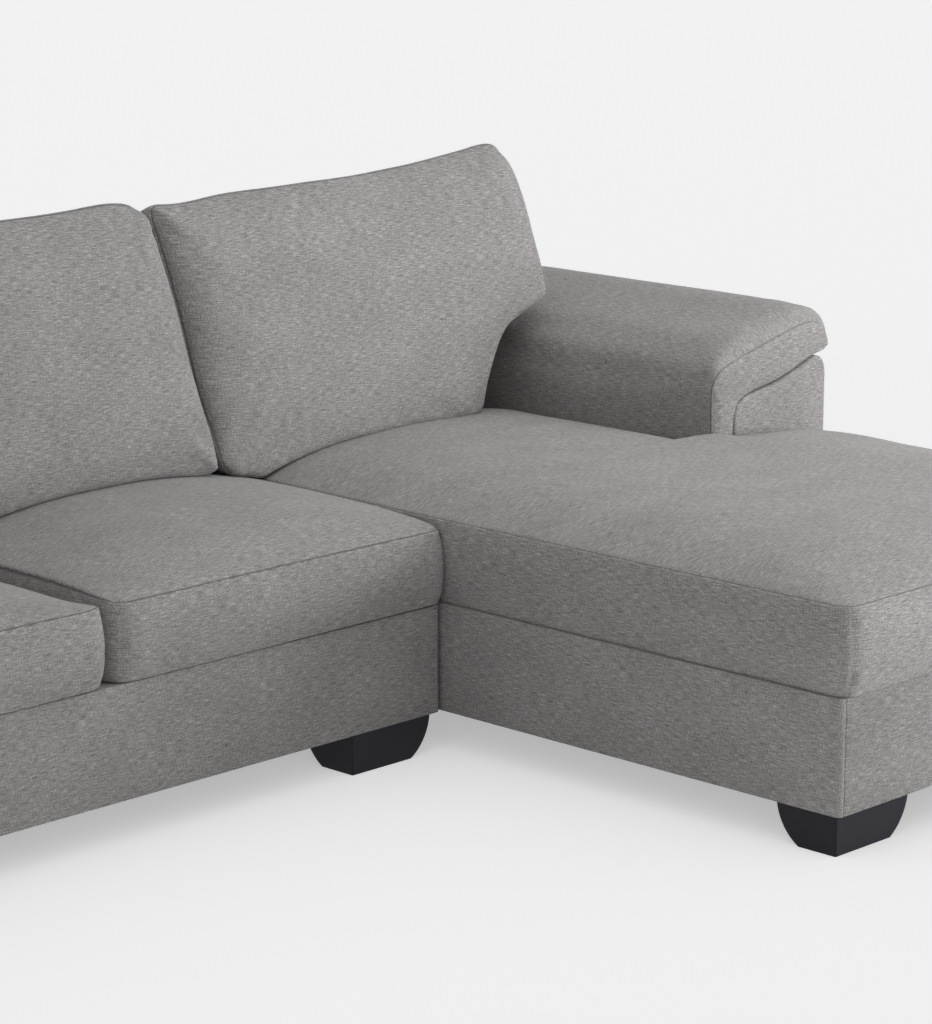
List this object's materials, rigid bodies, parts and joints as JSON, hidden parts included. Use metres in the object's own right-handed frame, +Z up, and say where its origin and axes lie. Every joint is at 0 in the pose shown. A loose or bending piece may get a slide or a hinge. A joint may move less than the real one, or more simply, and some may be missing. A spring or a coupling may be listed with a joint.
{
  "type": "sectional sofa",
  "caption": "Sectional sofa with a chaise on the right, boxed seat cushions, leaning back cushions, overstuffed arm pads and dark block feet; units hook together and cushions lift out.",
  "frame": {"origin": "on the floor, in the middle of the whole outline", "axes": "+X across the seats towards the chaise, +Y to the back, +Z up"},
  "size_m": [2.924, 1.78, 0.9596],
  "materials": {
    "upholstery": "matte",
    "feet": "satin",
    "frame_wood": "matte",
    "foam": "matte",
    "fibre_fill": "matte",
    "elastic_webbing": "matte",
    "underside_cloth": "matte",
    "steel": "satin"
  },
  "bodies": {
    "sofa_unit": {"left_arm_frame": "frame_wood", "left_arm_pad": "upholstery", "left_arm_panel": "upholstery", "sofa_back_cover": "upholstery", "sofa_back_posts": "frame_wood", "sofa_back_straps": "elastic_webbing", "sofa_back_top_rail": "frame_wood", "sofa_base_cover": "upholstery", "sofa_connector_keepers": "steel", "sofa_corner_blocks": "frame_wood", "sofa_cross_rails": "frame_wood", "sofa_deck_board": "frame_wood", "sofa_dust_cover": "underside_cloth", "sofa_foot_bolts": "steel", "sofa_foot_front_left": "feet", "sofa_foot_front_right": "feet", "sofa_foot_rear_left": "feet", "sofa_foot_rear_right": "feet", "sofa_front_rail": "frame_wood", "sofa_left_rail": "frame_wood", "sofa_rear_rail": "frame_wood", "sofa_right_rail": "frame_wood"},
    "chaise_unit": {"chaise_back_cover": "upholstery", "chaise_back_posts": "frame_wood", "chaise_back_straps": "elastic_webbing", "chaise_back_top_rail": "frame_wood", "chaise_base_cover": "upholstery", "chaise_connector_tongues": "steel", "chaise_corner_blocks": "frame_wood", "chaise_cross_rails": "frame_wood", "chaise_deck_board": "frame_wood", "chaise_dust_cover": "underside_cloth", "chaise_foot_bolts": "steel", "chaise_foot_front_left": "feet", "chaise_foot_front_right": "feet", "chaise_foot_rear_left": "feet", "chaise_foot_rear_right": "feet", "chaise_front_rail": "frame_wood", "chaise_left_rail": "frame_wood", "chaise_rear_rail": "frame_wood", "chaise_right_rail": "frame_wood", "right_arm_frame": "frame_wood", "right_arm_pad": "upholstery", "right_arm_panel": "upholstery"},
    "seat_left": {"seat_cushion_left": "upholstery", "seat_foam_left": "foam"},
    "seat_middle": {"seat_cushion_middle": "upholstery", "seat_foam_middle": "foam"},
    "chaise_seat": {"chaise_cushion": "upholstery", "chaise_foam": "foam"},
    "back_left": {"back_cushion_left": "upholstery", "back_fill_left": "fibre_fill"},
    "back_middle": {"back_cushion_middle": "upholstery", "back_fill_middle": "fibre_fill"},
    "back_right": {"back_cushion_right": "upholstery", "back_fill_right": "fibre_fill"}
  },
  "joints": [
    {"name": "chaise_unhook", "type": "slide", "parent": "sofa_unit", "child": "chaise_unit", "axis": [0, 0, 1], "range_m": [0, 0.08]},
    {"name": "seat_left_pull", "type": "slide", "parent": "sofa_unit", "child": "seat_left", "axis": [0, -1, 0], "range_m": [0, 0.68]},
    {"name": "seat_middle_pull", "type": "slide", "parent": "sofa_unit", "child": "seat_middle", "axis": [0, -1, 0], "range_m": [0, 0.68]},
    {"name": "chaise_seat_pull", "type": "slide", "parent": "chaise_unit", "child": "chaise_seat", "axis": [0, -1, 0], "range_m": [0, 1.56]},
    {"name": "back_left_lift", "type": "slide", "parent": "sofa_unit", "child": "back_left", "axis": [0, 0.2346, 0.9721], "range_m": [0, 0.5]},
    {"name": "back_middle_lift", "type": "slide", "parent": "sofa_unit", "child": "back_middle", "axis": [0, 0.2346, 0.9721], "range_m": [0, 0.5]},
    {"name": "back_right_lift", "type": "slide", "parent": "chaise_unit", "child": "back_right", "axis": [0, 0.2346, 0.9721], "range_m": [0, 0.5]}
  ]
}
